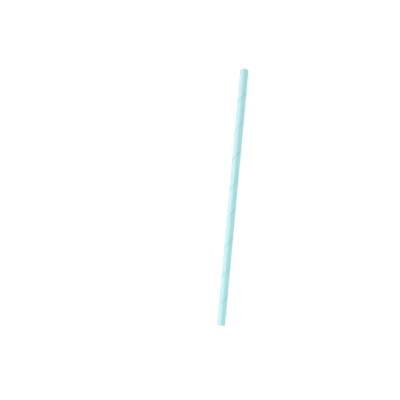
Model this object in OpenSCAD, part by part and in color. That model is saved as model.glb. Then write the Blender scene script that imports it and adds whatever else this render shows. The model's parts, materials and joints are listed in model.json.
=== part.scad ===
// Paper drinking straw: three strips of paper wound side by side up one helix
// and glued into a single tube, which is then cut square to length.
// It lies along X on the plane z = 0, with the origin under its middle.
// Each strip meets its own edge, turn after turn, in a narrow butt seam.
// The outer strip's seam runs round the outside, the liner's seam round the bore.

/* [Tube] */
// Length from one cut end to the other
straw_length = 197; // [60:1:300]
// Outside diameter of the wound tube
outer_diameter = 6.4; // [4:0.1:14]

/* [Paper] */
// Thickness of the dyed outer strip
outer_ply = 0.10; // [0.06:0.01:0.20]
// Thickness of the plain strip in the middle of the wall
middle_ply = 0.16; // [0.08:0.01:0.30]
// Thickness of the plain strip that lines the bore
liner_ply = 0.16; // [0.08:0.01:0.30]

/* [Winding] */
// Length of straw that one turn of the strips covers
turn_length = 22.42; // [12:0.01:60]
// Gap left where the outer strip meets its own edge
outer_gap = 0.22; // [0.10:0.01:0.60]
// Gap left where the liner meets its own edge
liner_gap = 0.30; // [0.10:0.01:0.60]
// Distance from the +X end to where the outer seam first crosses the top line
seam_start = 21.5; // [0:0.1:30]
// Distance along the straw from the outer seam to the liner's seam
liner_stagger = 7.5; // [1:0.1:20]

/* [Cut ends] */
// Width of the edge that the knife presses down round each cut end
pressed_edge = 0.06; // [0.02:0.01:0.10]

/* [Hidden] */
outer_r = outer_diameter / 2;
bore_r = outer_r - outer_ply - middle_ply - liner_ply;
// Flat steps in one turn of a seam, and a reach past what is cut
steps_per_turn = 24;
overrun = 0.5;
$fn = 96;

// Angle round the tube that a gap takes up in a section square to the axis, at radius r.
// The seam climbs, so the section cuts it on the slant.
function gap_angle(gap, r) =
    let (climb = atan(turn_length / (2 * PI * r)))
    gap / sin(climb) / r * 180 / PI;

// A vertex circle whose flats, not its corners, lie at radius r
function flats_at(r) = r / cos(180 / steps_per_turn);

// Butt seam as a cutter: a keystone notch between two radii, swept up a right-handed
// helix for as many whole turns as reach past both cut ends. It crosses the top line
// at the distance start from the far end.
module butt_seam(inner_face, outer_face, gap, start) {
    spread = gap_angle(gap, (inner_face + outer_face) / 2) / 2;
    turns = ceil((straw_length + 2 * overrun) / turn_length);
    top_line = 180;
    lead_in = top_line - 360 * (straw_length + overrun - start) / turn_length;
    translate([0, 0, -overrun])
        rotate(lead_in)
        linear_extrude(turns * turn_length, twist = -360 * turns,
                       slices = turns * steps_per_turn, segments = 4)
        polygon([for (corner = [[inner_face, -1], [outer_face, -1],
                                [outer_face, 1], [inner_face, 1]])
            corner[0] * [cos(corner[1] * spread), sin(corner[1] * spread)]]);
}

// The tube standing on its -X end: a wall with pressed outer edges, less the two seams
module wound_tube() {
    difference() {
        rotate_extrude()
            polygon([
                [bore_r, 0],
                [outer_r - pressed_edge, 0],
                [outer_r, pressed_edge],
                [outer_r, straw_length - pressed_edge],
                [outer_r - pressed_edge, straw_length],
                [bore_r, straw_length]
            ]);
        butt_seam(flats_at(outer_r - outer_ply), flats_at(outer_r + overrun), outer_gap, seam_start);
        butt_seam(bore_r - overrun, bore_r + liner_ply, liner_gap, seam_start + liner_stagger);
    }
}

module straw_tube() {
    color("paleturquoise")
        translate([-straw_length / 2, 0, outer_r])
        rotate([0, 90, 0])
        wound_tube();
}

straw_tube();
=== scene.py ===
"""A dyed paper drinking straw, lying on a plain white table and seen from straight above.

The wall is three strips of paper wound up one helix and glued into a tube. Its mesh runs
along lines that climb with the strips, so each butt seam is a clean pair of cut edges.
"""

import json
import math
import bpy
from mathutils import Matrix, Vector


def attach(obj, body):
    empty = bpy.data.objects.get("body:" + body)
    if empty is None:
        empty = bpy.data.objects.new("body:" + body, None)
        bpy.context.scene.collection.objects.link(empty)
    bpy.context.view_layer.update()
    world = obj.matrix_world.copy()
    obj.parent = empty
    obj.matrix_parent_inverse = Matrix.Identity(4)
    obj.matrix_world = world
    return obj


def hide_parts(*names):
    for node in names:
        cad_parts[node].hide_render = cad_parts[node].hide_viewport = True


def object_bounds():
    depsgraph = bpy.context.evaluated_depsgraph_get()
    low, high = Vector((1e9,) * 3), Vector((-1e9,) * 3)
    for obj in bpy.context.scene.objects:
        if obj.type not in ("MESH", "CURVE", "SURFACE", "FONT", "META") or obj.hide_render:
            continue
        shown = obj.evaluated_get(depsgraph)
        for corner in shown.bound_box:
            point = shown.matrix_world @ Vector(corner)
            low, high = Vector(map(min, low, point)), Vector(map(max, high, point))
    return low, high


bl_info = {
    "name": "Paper Drinking Straw",
    "version": (1, 0, 0),
    "blender": (4, 5, 0),
    "location": "3D View > Sidebar > Paper Straw",
    "description": "Winds a dyed paper drinking straw and lays it on a plain white table",
    "category": "Add Mesh",
}

import bmesh
import bpy
import numpy as np
from bpy.props import FloatProperty, FloatVectorProperty, PointerProperty
from mathutils import Matrix, Vector, noise

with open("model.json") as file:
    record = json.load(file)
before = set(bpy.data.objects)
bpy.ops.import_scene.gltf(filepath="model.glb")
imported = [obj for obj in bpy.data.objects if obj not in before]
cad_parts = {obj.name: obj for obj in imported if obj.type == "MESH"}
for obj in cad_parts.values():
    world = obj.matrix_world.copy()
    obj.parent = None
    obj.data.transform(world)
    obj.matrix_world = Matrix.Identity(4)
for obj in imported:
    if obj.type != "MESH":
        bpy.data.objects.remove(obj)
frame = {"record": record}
CAD_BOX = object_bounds()

MM = 0.001
FULL_TURN = 2 * math.pi
MOUNT_RADIUS = {m["name"]: m["dims"]["r_mm"] for m in frame["record"]["mounts"]}
TUBE_NODE = "straw_tube"

# Places in the wall's list of materials
DYED, SEAM, PLAIN = range(3)

# Loops of the cut face between its outer and its inner edge: the floor of the outer seam,
# then the crease under the outer strip and the crease over the liner, each with two lips
FLOOR, PLY_OUT, PLY_LINE, PLY_IN, LINER_OUT, LINER_LINE, LINER_IN = range(7)

# Distances from a seam's edge at which the mesh has a line, outside and in the bore
LIP_LINES = np.array([0, 0.03, 0.1, 0.25, 0.5]) * MM
LINER_LIP_LINES = np.array([0, 0.05, 0.2]) * MM
# Degrees between the other lines, and from them to a seam's lines
LINE_STEP = 7.5
LINE_CLEARANCE = 2
# Distances from a cut end at which the mesh has a ring, and the step between the other rings
END_RINGS = np.array([0, 0.03, 0.08, 0.16, 0.3, 0.55]) * MM
RING_STEP = 0.62 * MM
# Faces that meet at more than this are shaded with a crease
SHARP_ANGLE = math.radians(38)

# Length of one stray of a seam's edge, how far into the strip it is felt, and each edge's seed
WANDER_LENGTH = 4 * MM
WANDER_REACH = 0.4 * MM
WANDER_SEEDS = (1.5, 7.5)
# Height and width of the swellings that the glue raises in the outer strip
SWELLING_HEIGHT = 0.003 * MM
SWELLING_WIDTH = 1.1 * MM

# Blender's noise keeps mostly to this range
NOISE_RANGE = {"From Min": 0.3, "From Max": 0.7}

# Length and height of the softboxes, in metres
SIDE_SOFTBOX = (0.9, 0.36)
SHEEN_SOFTBOX = (1.2, 0.5)
TOP_SOFTBOX = (0.15, 0.15)

WHITE = (1, 1, 1)
# Width of the camera's sensor, in millimetres
SENSOR_WIDTH = 36


def linear(hex_colour):
    """An sRGB colour such as "98C7C9" as three linear values."""
    parts = [int(hex_colour[i:i + 2], 16) / 255 for i in (0, 2, 4)]
    return [c / 12.92 if c <= 0.04045 else ((c + 0.055) / 1.055) ** 2.4 for c in parts]


def rgba(colour):
    """A colour with full cover."""
    return (*colour, 1.0)


def size_property(label, about, default_mm):
    """A length that is shown in the scene's unit."""
    return FloatProperty(name=label, description=about, default=default_mm * MM,
                         min=0, unit="LENGTH", precision=5)


def angle_property(label, about, degrees):
    """An angle that is shown in degrees."""
    return FloatProperty(name=label, description=about, default=math.radians(degrees),
                         subtype="ANGLE")


def power_property(label, about, watts):
    """The power of a lamp."""
    return FloatProperty(name=label, description=about, default=watts, min=0, unit="POWER")


def colour_property(label, about, hex_colour):
    """A colour of a surface or a lamp."""
    return FloatVectorProperty(name=label, description=about, subtype="COLOR",
                               min=0, max=1, default=linear(hex_colour))


class StrawSizes(bpy.types.PropertyGroup):
    """Sizes of the wound tube."""

    length: size_property("Length", "From one cut end to the other",
                          (CAD_BOX[1].x - CAD_BOX[0].x) / MM)
    outer_radius: size_property("Outer radius", "Radius of the dyed outside",
                                MOUNT_RADIUS["outer_wall"])
    bore_radius: size_property("Bore radius", "Radius of the hole through the tube",
                               MOUNT_RADIUS["bore"])
    outer_ply: size_property("Outer strip", "Thickness of the dyed outer strip", 0.10)
    liner_ply: size_property("Liner", "Thickness of the plain strip that lines the bore", 0.16)
    turn_length: size_property("Turn length", "Length of straw that one turn covers", 22.42)
    outer_gap: size_property("Outer gap", "Gap between the outer strip's edges", 0.22)
    glue_fill: size_property("Glue fill", "Depth of glue that dried in the outer gap", 0.03)
    liner_gap: size_property("Liner gap", "Gap between the liner's edges", 0.30)
    seam_start: size_property("Seam start", "From the +X end to the seam's first crossing of "
                              "the top line", 21.5)
    liner_stagger: size_property("Liner stagger", "From the outer seam to the liner's seam, "
                                 "along the straw", 7.5)
    pressed_edge: size_property("Pressed edge", "How far the knife presses the outside in at a "
                                "cut end", 0.06)
    pressed_width: size_property("Pressed width", "Length of straw that the pressing rounds",
                                 0.16)
    glue_line: size_property("Glue line", "Width and depth of the crease between two strips at "
                             "a cut end", 0.03)
    crown: size_property("Crown", "How far the strip rises towards its lower edge", 0.03)
    crown_width: size_property("Crown width", "Width of the strip that the rise takes", 3.0)
    lip_round: size_property("Lip round", "Rounding of the strip's cut edges", 0.03)
    edge_wander: size_property("Edge wander", "How far a seam's edges stray from the helix",
                               0.03)


class StrawColours(bpy.types.PropertyGroup):
    """Colours of the papers."""

    dye: colour_property("Dye", "Pale aqua of the outer strip", "98C7C9")
    dye_deep: colour_property("Deep dye", "Dye where it gathers along a cut edge", "82BCBE")
    glue: colour_property("Glue", "Dyed paper soaked with the seam's glue", "7FA8AA")
    # Painted shade: the outside turns greyer towards each cut end
    painted_end_shade: colour_property("Scuffed", "Greyer outside where the knife rubbed it", "AABDC0")
    plain: colour_property("Plain paper", "Middle strip and liner", "F1EEE7")


class StageSettings(bpy.types.PropertyGroup):
    """Table, light and camera."""

    frame_width: size_property("Frame width", "Width that the picture takes in at the height of "
                               "the straw's top", 306.0)
    straw_right: size_property("Straw right", "Straw's middle, right of the picture's", 24.86)
    straw_up: size_property("Straw up", "Straw's middle, above the picture's", 1.94)
    lean: angle_property("Lean", "Turn of the straw's top to the right", 5.24)
    camera_height: size_property("Camera height", "Height of the camera above the table", 2000)
    side_power: power_property("Side power", "Power of the low side softbox", 17.5)
    side_distance: size_property("Side distance", "From the straw to the side softbox", 1200)
    side_height: angle_property("Side height", "Angle of the side softbox above the table", 9)
    side_tint: colour_property("Side tint", "Warm colour of the side softbox", "FFA6AC")
    table_power: power_property("Table power", "Power of the side softbox that lights the table "
                                "alone", 8.5)
    sheen_power: power_property("Sheen power", "Power of the softbox that gives the paper its "
                                "sheen", 13.5)
    sheen_distance: size_property("Sheen distance", "From the straw to the sheen softbox", 1000)
    sheen_height: angle_property("Sheen height", "Angle of the sheen softbox above the table", 60)
    top_power: power_property("Top power", "Power of the small softbox above the -X end", 0.32)
    top_along: size_property("Top along", "From the straw's middle to below the top softbox", 98)
    top_height: size_property("Top height", "Height of the top softbox above the table", 360)
    sky: FloatProperty(name="Sky", description="Strength of the even light all round",
                       default=1.035, min=0)
    table: colour_property("Table", "Matt white board", "FBFBFB")
    table_side: size_property("Table side", "Length of each side of the table", 6000)


def seam_angle(sizes, gap, radius):
    """Angle round the tube that a gap takes up in a section square to the axis."""
    climb = math.atan2(sizes.turn_length, FULL_TURN * radius)
    return gap / math.sin(climb) / radius


def helix_lines(sizes):
    """Angles of the mesh's lines, from the middle of the outer seam, and the liner seam's place.

    The first and the last line are the outer seam's two edges. The place is the index of the
    liner seam's first edge; its second edge is the next line.
    """
    outer, bore = sizes.outer_radius, sizes.bore_radius
    outer_half = seam_angle(sizes, sizes.outer_gap, outer) / 2
    liner_half = seam_angle(sizes, sizes.liner_gap, bore) / 2
    liner_middle = FULL_TURN * sizes.liner_stagger / sizes.turn_length
    lip = LIP_LINES / outer + outer_half
    liner_lip = LINER_LIP_LINES / bore + liner_half
    clear = np.radians(LINE_CLEARANCE)
    plain = np.radians(np.arange(0, 360, LINE_STEP))
    plain = plain[(plain > lip[-1] + clear) & (plain < FULL_TURN - lip[-1] - clear)]
    plain = plain[np.abs(plain - liner_middle) > liner_lip[-1] + clear]
    lines = np.sort(np.concatenate([lip, FULL_TURN - lip, plain,
                                    liner_middle - liner_lip, liner_middle + liner_lip]))
    return lines, int(np.argmin(np.abs(lines - (liner_middle - liner_half))))


def stations(sizes):
    """Distances from the -X end at which the mesh has a ring, closer together at the ends."""
    near = END_RINGS
    count = int(round((sizes.length - 2 * near[-1]) / RING_STEP))
    middle = np.linspace(near[-1], sizes.length - near[-1], count + 1)
    return np.concatenate([near[:-1], middle, (sizes.length - near[:-1])[::-1]])


def edge_shift(sizes, lines, place):
    """Angles by which the lines of one ring follow the wander of the seam's two edges."""
    most, reach = sizes.edge_wander / sizes.outer_radius, WANDER_REACH / sizes.outer_radius
    first, last = [most * noise.noise(Vector((place / WANDER_LENGTH, seed, 0)))
                   for seed in WANDER_SEEDS]
    return first * np.exp(-lines / reach) + last * np.exp(-(FULL_TURN - lines) / reach)


def outside_drop(sizes, lines, place):
    """How far the outside lies below the outer radius, for every line of one ring."""
    half = seam_angle(sizes, sizes.outer_gap, sizes.outer_radius) / 2 * sizes.outer_radius
    from_lower = lines * sizes.outer_radius - half
    from_upper = (FULL_TURN - lines) * sizes.outer_radius - half
    rise = np.clip(1 - from_lower / sizes.crown_width, 0, 1)
    drop = sizes.crown * (1 - rise ** 2 * (3 - 2 * rise))
    for from_edge in (from_lower, from_upper):
        drop = drop + sizes.lip_round * np.clip(1 - from_edge / sizes.lip_round, 0, 1)
    from_cut = min(place, sizes.length - place)
    if from_cut < sizes.pressed_width:
        bend = 1 - from_cut / sizes.pressed_width
        drop = drop + sizes.pressed_edge * (1 - math.sqrt(1 - bend ** 2))
    return drop


def swelling(sizes, angles, place):
    """How swollen the outer strip is, from -1 to 1, at every line of one ring."""
    radius = sizes.outer_radius / SWELLING_WIDTH
    return np.array([noise.noise(Vector((place / SWELLING_WIDTH, radius * math.cos(angle),
                                         radius * math.sin(angle)))) for angle in angles])


def strip_place(sizes, lines, angles, place):
    """Each outside point's place on the flat strip, in mm: along, across and from the seam."""
    climb = math.atan2(sizes.turn_length, FULL_TURN * sizes.outer_radius)
    round_mm, place_mm = angles * sizes.outer_radius / MM, place / MM
    from_seam = np.minimum(lines, FULL_TURN - lines) * sizes.outer_radius * math.sin(climb) / MM
    return np.stack([round_mm * math.cos(climb) + place_mm * math.sin(climb),
                     place_mm * math.cos(climb) - round_mm * math.sin(climb),
                     from_seam], axis=-1)


def wall_points(sizes):
    """Rings of points of the wall: outside, bore, the floors of the two seams and the cut ends.

    Also gives each outside point's place on the flat strip, which the paper's grain and the
    darker cut edge are drawn from.
    """
    lines, liner_at = helix_lines(sizes)
    rings = stations(sizes)
    outer, bore = sizes.outer_radius, sizes.bore_radius
    ply_line = outer - sizes.outer_ply
    floor = ply_line + sizes.glue_fill
    liner_line = bore + sizes.liner_ply
    top_line = math.pi / 2
    seam_edges, liner_edges = [len(lines) - 1, 0], [liner_at, liner_at + 1]
    outside, inside, floors, liner_floors, grain, turned = [], [], [], [], [], []

    def at(place, radius, angle):
        """Points of one ring, in the frame of the straw that lies on the table."""
        radius, angle = np.broadcast_arrays(radius, angle)
        return np.stack([np.full(angle.shape, place - sizes.length / 2),
                         radius * np.cos(angle), outer + radius * np.sin(angle)], axis=-1)

    for place in rings:
        from_start = place - sizes.length + sizes.seam_start
        seam = top_line + FULL_TURN * from_start / sizes.turn_length
        angles = seam + lines + edge_shift(sizes, lines, place)
        drop = outside_drop(sizes, lines, place)
        swollen = SWELLING_HEIGHT * (swelling(sizes, angles, place) - 1)
        outside.append(at(place, np.minimum(outer - drop + swollen, outer), angles))
        inside.append(at(place, bore, angles))
        floors.append(at(place, floor, angles[seam_edges]))
        liner_floors.append(at(place, liner_line, angles[liner_edges]))
        grain.append(strip_place(sizes, lines, angles, place))
        turned.append(angles)

    lip = sizes.glue_line / 2
    ends = []
    for place, inward, angles in ((rings[0], 1, turned[0]), (rings[-1], -1, turned[-1])):
        sunk = place + sizes.glue_line * inward
        loops = {
            FLOOR: at(place, floor, angles),
            PLY_OUT: at(place, ply_line + lip, angles),
            PLY_LINE: at(sunk, ply_line, angles),
            PLY_IN: at(place, ply_line - lip, angles),
            LINER_OUT: at(place, liner_line + lip, angles),
            LINER_LINE: at(sunk, liner_line, angles),
            LINER_IN: at(place, liner_line - lip, angles),
        }
        ends.append([loops[depth] for depth in sorted(loops)])
    return {"outside": np.array(outside), "inside": np.array(inside), "floors": np.array(floors),
            "liner_floors": np.array(liner_floors), "ends": ends, "grain": np.array(grain),
            "seam_edges": seam_edges, "liner_edges": liner_edges}


def wall_mesh(sizes):
    """Closed mesh of the wound wall, with a material for each face."""
    points = wall_points(sizes)
    seam_edges, liner_edges = points["seam_edges"], points["liner_edges"]
    count = points["outside"].shape[1]
    vertices, faces, finishes = [], [], []

    def add(block):
        """Add points to the mesh and give their numbers, in the same arrangement."""
        start = len(vertices)
        flat = block.reshape(-1, 3)
        vertices.extend(flat.tolist())
        return np.arange(start, start + len(flat)).reshape(block.shape[:-1])

    def skin(first, second, finish):
        """Faces between two columns of points that climb side by side."""
        for a, b, c, d in zip(first[:-1], second[:-1], second[1:], first[1:]):
            faces.append((a, b, c, d))
            finishes.append(finish)

    def liner_side(edge, foot, lips):
        """Slit edge of the liner, which meets the lip of a glue line at each cut end."""
        skin(edge[1:-1], foot[1:-1], PLAIN)
        faces.append((edge[0], lips[0], foot[0], foot[1], edge[1]))
        faces.append((edge[-2], foot[-2], foot[-1], lips[1], edge[-1]))
        finishes.extend((PLAIN, PLAIN))

    def cut_face(loops):
        """Rings of faces across the wall at a cut end, left open where a seam runs out.

        Each ring goes by the number of its inner loop.
        """
        for depth, (over, under) in enumerate(zip(loops[:-1], loops[1:])):
            for j in range(count):
                after = (j + 1) % count
                in_seam = depth == FLOOR and j == seam_edges[0]
                in_liner_seam = depth > LINER_LINE and j == liner_edges[0]
                if in_seam or in_liner_seam:
                    continue
                faces.append((over[j], over[after], under[after], under[j]))
                finishes.append(DYED if depth <= PLY_LINE else PLAIN)

    outside, inside = add(points["outside"]), add(points["inside"])
    first_end, last_end = [[add(loop) for loop in end] for end in points["ends"]]
    floors = np.vstack([first_end[FLOOR][seam_edges], add(points["floors"][1:-1]),
                        last_end[FLOOR][seam_edges]])
    liner_floors = np.vstack([first_end[LINER_LINE][liner_edges],
                              add(points["liner_floors"][1:-1]),
                              last_end[LINER_LINE][liner_edges]])

    for j in range(count - 1):
        skin(outside[:, j], outside[:, j + 1], DYED)
    skin(floors[:, 0], floors[:, 1], SEAM)
    for k, j in enumerate(seam_edges):
        skin(outside[:, j], floors[:, k], SEAM)
    for j in range(count):
        if j != liner_edges[0]:
            skin(inside[:, j], inside[:, (j + 1) % count], PLAIN)
    skin(liner_floors[:, 0], liner_floors[:, 1], PLAIN)
    for k, j in enumerate(liner_edges):
        liner_side(inside[:, j], liner_floors[:, k],
                   [first_end[LINER_IN][j], last_end[LINER_IN][j]])
    cut_face([outside[0], *first_end, inside[0]])
    cut_face([outside[-1], *last_end, inside[-1]])

    mesh = bpy.data.meshes.new("wound_tube")
    mesh.from_pydata(vertices, [], [tuple(int(v) for v in face) for face in faces])
    mesh.polygons.foreach_set("material_index", finishes)
    grain = mesh.attributes.new("strip_mm", "FLOAT_VECTOR", "POINT")
    values = np.zeros((len(vertices), 3))
    values[outside.ravel()] = points["grain"].reshape(-1, 3)
    grain.data.foreach_set("vector", values.ravel())
    turn_outwards(mesh)
    mesh.shade_smooth()
    mesh.set_sharp_from_angle(angle=SHARP_ANGLE)
    return mesh


def turn_outwards(mesh):
    """Turn every face of a closed mesh outwards."""
    bm = bmesh.new()
    bm.from_mesh(mesh)
    bmesh.ops.recalc_face_normals(bm, faces=bm.faces)
    bm.to_mesh(mesh)
    bm.free()


def add_node(tree, kind, inputs, **settings):
    """A shader node with its settings. Each input takes a value or another node's output."""
    made = tree.nodes.new(kind)
    for name, value in settings.items():
        setattr(made, name, value)
    for key, value in inputs.items():
        if isinstance(value, bpy.types.NodeSocket):
            tree.links.new(value, made.inputs[key])
        else:
            made.inputs[key].default_value = value
    return made


def new_material(name):
    """An empty node material and its tree."""
    material = bpy.data.materials.new(name)
    material.use_nodes = True
    material.node_tree.nodes.clear()
    return material, material.node_tree


def dyed_paper(colours, sizes):
    """Uncoated paper dyed in the pulp, slit into a strip and wound.

    Pressed smooth between rollers, so it has a low, soft sheen. The grain runs along the strip,
    so it climbs round the straw; the pulp's cloudy formation shifts the colour a little every
    few millimetres. The dye is deeper along the slit edges, and painted shade greys the outside
    towards each cut end.
    """
    material, tree = new_material("dyed_uncoated_paper")
    strip = add_node(tree, "ShaderNodeAttribute", {}, attribute_name="strip_mm")
    # Real fibres are 1.5 mm by 0.03 mm; they are drawn 0.15 mm wide, as coarse as shows
    fibre_length, fibre_width = 1.5, 0.15
    fibre_place = add_node(tree, "ShaderNodeMapping", {
        "Vector": strip.outputs["Vector"],
        "Scale": (1 / fibre_length, 1 / fibre_width, 0)})
    fibre = add_node(tree, "ShaderNodeTexNoise", {
        "Vector": fibre_place.outputs["Vector"], "Scale": 1.0, "Detail": 3.0, "Roughness": 0.6})
    cloud_width = 2.5
    cloud_place = add_node(tree, "ShaderNodeMapping", {
        "Vector": strip.outputs["Vector"],
        "Scale": (1 / cloud_width, 1 / cloud_width, 0)})
    cloud = add_node(tree, "ShaderNodeTexNoise", {
        "Vector": cloud_place.outputs["Vector"], "Scale": 1.0, "Detail": 2.0})
    # The dye fades from its deepest at the slit edge to the strip's own within a millimetre
    split = add_node(tree, "ShaderNodeSeparateXYZ", {"Vector": strip.outputs["Vector"]})
    slit = add_node(tree, "ShaderNodeMapRange", {
        "Value": split.outputs["Z"], "From Min": 0.1, "From Max": 1.0,
        "To Min": 0.3, "To Max": 0.0})
    # Painted shade greys the outside towards each cut end. It ends raggedly, further in along
    # some fibres than along others
    ragged_by = 3 * MM
    end_shade_from, end_shade_to = sizes.length / 2 + 0.1 * MM, sizes.length / 2 + 1.6 * MM
    place = add_node(tree, "ShaderNodeTexCoord", {})
    axes = add_node(tree, "ShaderNodeSeparateXYZ", {"Vector": place.outputs["Object"]})
    from_middle = add_node(tree, "ShaderNodeMath", {0: axes.outputs["X"]}, operation="ABSOLUTE")
    ragged = add_node(tree, "ShaderNodeMath", {
        0: fibre.outputs["Fac"], 1: ragged_by, 2: from_middle.outputs[0]},
        operation="MULTIPLY_ADD")
    # knife holds how much painted shade each point of the outside takes near the cut ends
    knife = add_node(tree, "ShaderNodeMapRange", {
        "Value": ragged.outputs[0], "From Min": end_shade_from, "From Max": end_shade_to,
        "To Min": 0.0, "To Max": 0.8})
    fibre_tone = add_node(tree, "ShaderNodeMapRange", {
        "Value": fibre.outputs["Fac"], **NOISE_RANGE, "To Min": 0.96, "To Max": 1.04})
    cloud_tone = add_node(tree, "ShaderNodeMapRange", {
        "Value": cloud.outputs["Fac"], **NOISE_RANGE, "To Min": 0.975, "To Max": 1.025})
    tone = add_node(tree, "ShaderNodeMath", {
        0: fibre_tone.outputs["Result"], 1: cloud_tone.outputs["Result"]}, operation="MULTIPLY")
    dye = add_node(tree, "ShaderNodeMix", {
        0: slit.outputs["Result"], 6: rgba(colours.dye), 7: rgba(colours.dye_deep)},
        data_type="RGBA")
    # Mix the painted shade at the cut ends into the dye
    end_shaded = add_node(tree, "ShaderNodeMix", {
        0: knife.outputs["Result"], 6: dye.outputs[2], 7: rgba(colours.painted_end_shade)},
        data_type="RGBA")
    toned = add_node(tree, "ShaderNodeVectorMath", {
        0: end_shaded.outputs[2], "Scale": tone.outputs[0]}, operation="SCALE")
    relief = add_node(tree, "ShaderNodeBump", {
        "Height": fibre.outputs["Fac"], "Strength": 0.5, "Distance": 0.01 * MM})
    surface = add_node(tree, "ShaderNodeBsdfPrincipled", {
        "Base Color": toned.outputs[0], "Roughness": 0.45, "IOR": 1.5,
        "Specular IOR Level": 0.25, "Normal": relief.outputs["Normal"]})
    add_node(tree, "ShaderNodeOutputMaterial", {"Surface": surface.outputs[0]})
    return material


def glued_seam(colours):
    """Dyed paper soaked with the glue that squeezes into the butt seam.

    Darker and a little glossier than the strip, so the seam reads as a fine line.
    """
    material, tree = new_material("glue_soaked_paper")
    place = add_node(tree, "ShaderNodeTexCoord", {})
    # The glue wets the paper in patches a millimetre or so long
    patch_length = 1.2 * MM
    patches = add_node(tree, "ShaderNodeTexNoise", {
        "Vector": place.outputs["Object"], "Scale": 1 / patch_length, "Detail": 2.0})
    tone = add_node(tree, "ShaderNodeMapRange", {
        "Value": patches.outputs["Fac"], **NOISE_RANGE, "To Min": 0.8, "To Max": 1.1})
    wet = add_node(tree, "ShaderNodeVectorMath", {
        0: tuple(colours.glue), "Scale": tone.outputs["Result"]}, operation="SCALE")
    surface = add_node(tree, "ShaderNodeBsdfPrincipled", {
        "Base Color": wet.outputs[0], "Roughness": 0.4, "IOR": 1.48})
    add_node(tree, "ShaderNodeOutputMaterial", {"Surface": surface.outputs[0]})
    return material


def plain_paper(colours):
    """Bleached uncoated paper of the middle strip and the liner.

    Off-white and fully matt, with short fibre standing up where the knife cut it.
    """
    material, tree = new_material("bleached_uncoated_paper")
    place = add_node(tree, "ShaderNodeTexCoord", {})
    # Real cut fibre ends are about 0.03 mm apart; they are drawn 0.2 mm apart, as coarse as shows
    fluff_width = 0.2 * MM
    fluff = add_node(tree, "ShaderNodeTexNoise", {
        "Vector": place.outputs["Object"], "Scale": 1 / fluff_width, "Detail": 3.0})
    tone = add_node(tree, "ShaderNodeMapRange", {
        "Value": fluff.outputs["Fac"], **NOISE_RANGE, "To Min": 0.93, "To Max": 1.0})
    toned = add_node(tree, "ShaderNodeVectorMath", {
        0: tuple(colours.plain), "Scale": tone.outputs["Result"]}, operation="SCALE")
    relief = add_node(tree, "ShaderNodeBump", {
        "Height": fluff.outputs["Fac"], "Strength": 0.4, "Distance": 0.02 * MM})
    surface = add_node(tree, "ShaderNodeBsdfPrincipled", {
        "Base Color": toned.outputs[0], "Roughness": 0.85, "IOR": 1.5,
        "Normal": relief.outputs["Normal"]})
    add_node(tree, "ShaderNodeOutputMaterial", {"Surface": surface.outputs[0]})
    return material


def white_board(stage):
    """Matt white painted board: even, with only a breath of roller texture."""
    material, tree = new_material("matt_white_board")
    place = add_node(tree, "ShaderNodeTexCoord", {})
    nap_width = 2 * MM
    roller = add_node(tree, "ShaderNodeTexNoise", {
        "Vector": place.outputs["Object"], "Scale": 1 / nap_width, "Detail": 2.0})
    relief = add_node(tree, "ShaderNodeBump", {
        "Height": roller.outputs["Fac"], "Strength": 0.1, "Distance": 0.02 * MM})
    surface = add_node(tree, "ShaderNodeBsdfPrincipled", {
        "Base Color": rgba(stage.table), "Roughness": 0.9, "Normal": relief.outputs["Normal"]})
    add_node(tree, "ShaderNodeOutputMaterial", {"Surface": surface.outputs[0]})
    return material


class STRAW_OT_wind_tube(bpy.types.Operator):
    """Wind the straw's wall from its strips and finish its papers"""

    bl_idname = "straw.wind_tube"
    bl_label = "Wind Tube"

    def execute(self, context):
        sizes, colours = context.scene.straw_sizes, context.scene.straw_colours
        if sizes.bore_radius >= sizes.outer_radius:
            raise ValueError("the bore is as wide as the tube")
        tube = bpy.data.objects.new("wound_tube", wall_mesh(sizes))
        context.scene.collection.objects.link(tube)
        for material in (dyed_paper(colours, sizes), glued_seam(colours), plain_paper(colours)):
            tube.data.materials.append(material)
        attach(tube, "root")
        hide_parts(TUBE_NODE)
        return {"FINISHED"}


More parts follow.
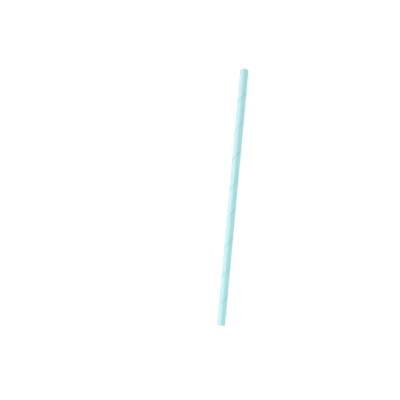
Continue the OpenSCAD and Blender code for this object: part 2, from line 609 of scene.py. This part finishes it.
class STRAW_OT_set_stage(bpy.types.Operator):
    """Lay a white table, light it from the side and put the camera straight above"""

    bl_idname = "straw.set_stage"
    bl_label = "Set Stage"

    def execute(self, context):
        scene, stage = context.scene, context.scene.straw_stage
        table = self.lay_table(scene, stage)
        self.light(scene, stage, table)
        self.place_camera(scene, stage)
        return {"FINISHED"}

    def lay_table(self, scene, stage):
        """A square white board under the straw."""
        half = stage.table_side / 2
        corners = [(-half, -half, 0), (half, -half, 0), (half, half, 0), (-half, half, 0)]
        mesh = bpy.data.meshes.new("table")
        mesh.from_pydata(corners, [], [(0, 1, 2, 3)])
        table = bpy.data.objects.new("table", mesh)
        table.data.materials.append(white_board(stage))
        scene.collection.objects.link(table)
        return table

    def light(self, scene, stage, table):
        """An even white surround and four softboxes."""
        world = bpy.data.worlds.new("white_surround")
        world.use_nodes = True
        surround = world.node_tree.nodes["Background"]
        surround.inputs["Color"].default_value = rgba(WHITE)
        surround.inputs["Strength"].default_value = stage.sky
        scene.world = world
        # The warm softbox would colour the table and the paper's sheen, so it gives neither.
        # A white one at the same place lights the table
        side_spot = self.beside(stage.side_height, stage.side_distance)
        warm = self.hang_softbox(scene, "side_softbox", side_spot, SIDE_SOFTBOX,
                                 stage.side_power, stage.side_tint)
        warm.visible_glossy = False
        self.flag(warm, table, "EXCLUDE")
        white = self.hang_softbox(scene, "table_softbox", side_spot, SIDE_SOFTBOX,
                                  stage.table_power, WHITE)
        self.flag(white, table, "INCLUDE")
        # A higher one gives sheen alone, so that the lit half begins with a clear edge
        sheen_spot = self.beside(stage.sheen_height, stage.sheen_distance)
        sheen = self.hang_softbox(scene, "sheen_softbox", sheen_spot, SHEEN_SOFTBOX,
                                  stage.sheen_power, WHITE)
        sheen.visible_diffuse = False
        top_spot = Vector((-stage.top_along, 0, stage.top_height))
        self.hang_softbox(scene, "top_softbox", top_spot, TOP_SOFTBOX, stage.top_power, WHITE)
        scene.view_settings.view_transform = "Standard"

    def beside(self, height, distance):
        """A place at the straw's lit side, at an angle above the table."""
        return Vector((0, math.cos(height), math.sin(height))) * distance

    def hang_softbox(self, scene, name, spot, size, power, tint):
        """A softbox that faces the middle of the straw."""
        lamp = bpy.data.lights.new(name, "AREA")
        lamp.shape = "RECTANGLE"
        lamp.size, lamp.size_y = size
        lamp.energy = power
        lamp.color = tint
        softbox = bpy.data.objects.new(name, lamp)
        softbox.location = spot
        softbox.rotation_euler = spot.to_track_quat("Z", "Y").to_euler()
        scene.collection.objects.link(softbox)
        return softbox

    def flag(self, softbox, table, state):
        """Keep a softbox's light off the table, or let it reach the table alone."""
        lit = bpy.data.collections.new(softbox.name + "_lights")
        lit.objects.link(table)
        lit.collection_objects[0].light_linking.link_state = state
        softbox.light_linking.receiver_collection = lit

    def place_camera(self, scene, stage):
        """A camera that looks straight down, turned so that the straw leans."""
        lens = bpy.data.cameras.new("camera")
        lens.sensor_width = SENSOR_WIDTH
        above = stage.camera_height - 2 * scene.straw_sizes.outer_radius
        lens.lens = lens.sensor_width * above / stage.frame_width
        lens.clip_start, lens.clip_end = 0.1, 20
        camera = bpy.data.objects.new("camera", lens)
        right = Vector((math.sin(stage.lean), -math.cos(stage.lean), 0))
        up = Vector((math.cos(stage.lean), math.sin(stage.lean), 0))
        spot = -stage.straw_right * right - stage.straw_up * up
        spot.z = stage.camera_height
        turn = Matrix((right, up, Vector((0, 0, 1)))).transposed()
        camera.matrix_world = Matrix.Translation(spot) @ turn.to_4x4()
        scene.collection.objects.link(camera)
        scene.camera = camera


class VIEW3D_PT_paper_straw(bpy.types.Panel):
    """Sizes and colours of the straw, and the steps that make it"""

    bl_label = "Paper Straw"
    bl_idname = "VIEW3D_PT_paper_straw"
    bl_space_type = "VIEW_3D"
    bl_region_type = "UI"
    bl_category = "Paper Straw"

    def draw(self, context):
        scene = context.scene
        for label, group in (("Tube", scene.straw_sizes), ("Paper", scene.straw_colours),
                             ("Stage", scene.straw_stage)):
            box = self.layout.box()
            box.label(text=label)
            for name in group.__annotations__:
                box.prop(group, name)
        for operator in (STRAW_OT_wind_tube, STRAW_OT_set_stage):
            self.layout.operator(operator.bl_idname)


CLASSES = (StrawSizes, StrawColours, StageSettings, STRAW_OT_wind_tube, STRAW_OT_set_stage,
           VIEW3D_PT_paper_straw)


def register():
    for cls in CLASSES:
        bpy.utils.register_class(cls)
    bpy.types.Scene.straw_sizes = PointerProperty(type=StrawSizes)
    bpy.types.Scene.straw_colours = PointerProperty(type=StrawColours)
    bpy.types.Scene.straw_stage = PointerProperty(type=StageSettings)


def unregister():
    del bpy.types.Scene.straw_stage
    del bpy.types.Scene.straw_colours
    del bpy.types.Scene.straw_sizes
    for cls in reversed(CLASSES):
        bpy.utils.unregister_class(cls)


def main():
    register()
    bpy.ops.straw.set_stage()
    bpy.ops.straw.wind_tube()


if __name__ == "__main__":
    main()
